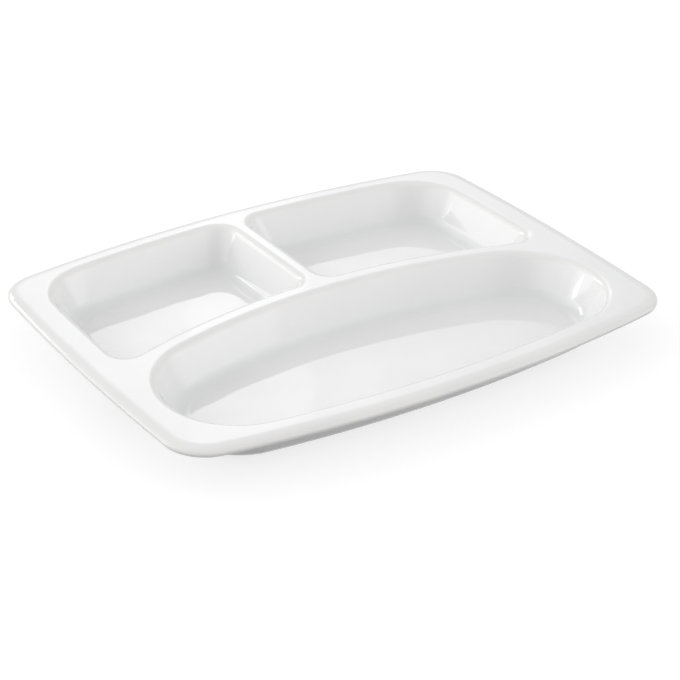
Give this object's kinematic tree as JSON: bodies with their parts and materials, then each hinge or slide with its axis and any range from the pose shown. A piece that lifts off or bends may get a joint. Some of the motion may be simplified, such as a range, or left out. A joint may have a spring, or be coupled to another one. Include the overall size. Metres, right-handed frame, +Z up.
{
  "type": "divided compartment plate",
  "caption": "Rectangular glazed porcelain plate with bowed sides and a flat flange that falls away at its edge; dividers part a long rounded front bowl from two smaller bowls behind it.",
  "frame": {"origin": "on the table, under the middle of the plate", "axes": "+X along the plate's length, +Y from the long front bowl to the back of the plate, +Z up"},
  "size_m": [0.3, 0.2356, 0.0268],
  "materials": {
    "bisque": "matt, fired and ground, unglazed",
    "glaze": "high gloss, clear white"
  },
  "bodies": {
    "root": {"porcelain_body": "bisque", "glaze_coat": "glaze", "main_base_glaze": "glaze", "left_base_glaze": "glaze", "right_base_glaze": "glaze"}
  },
  "joints": []
}
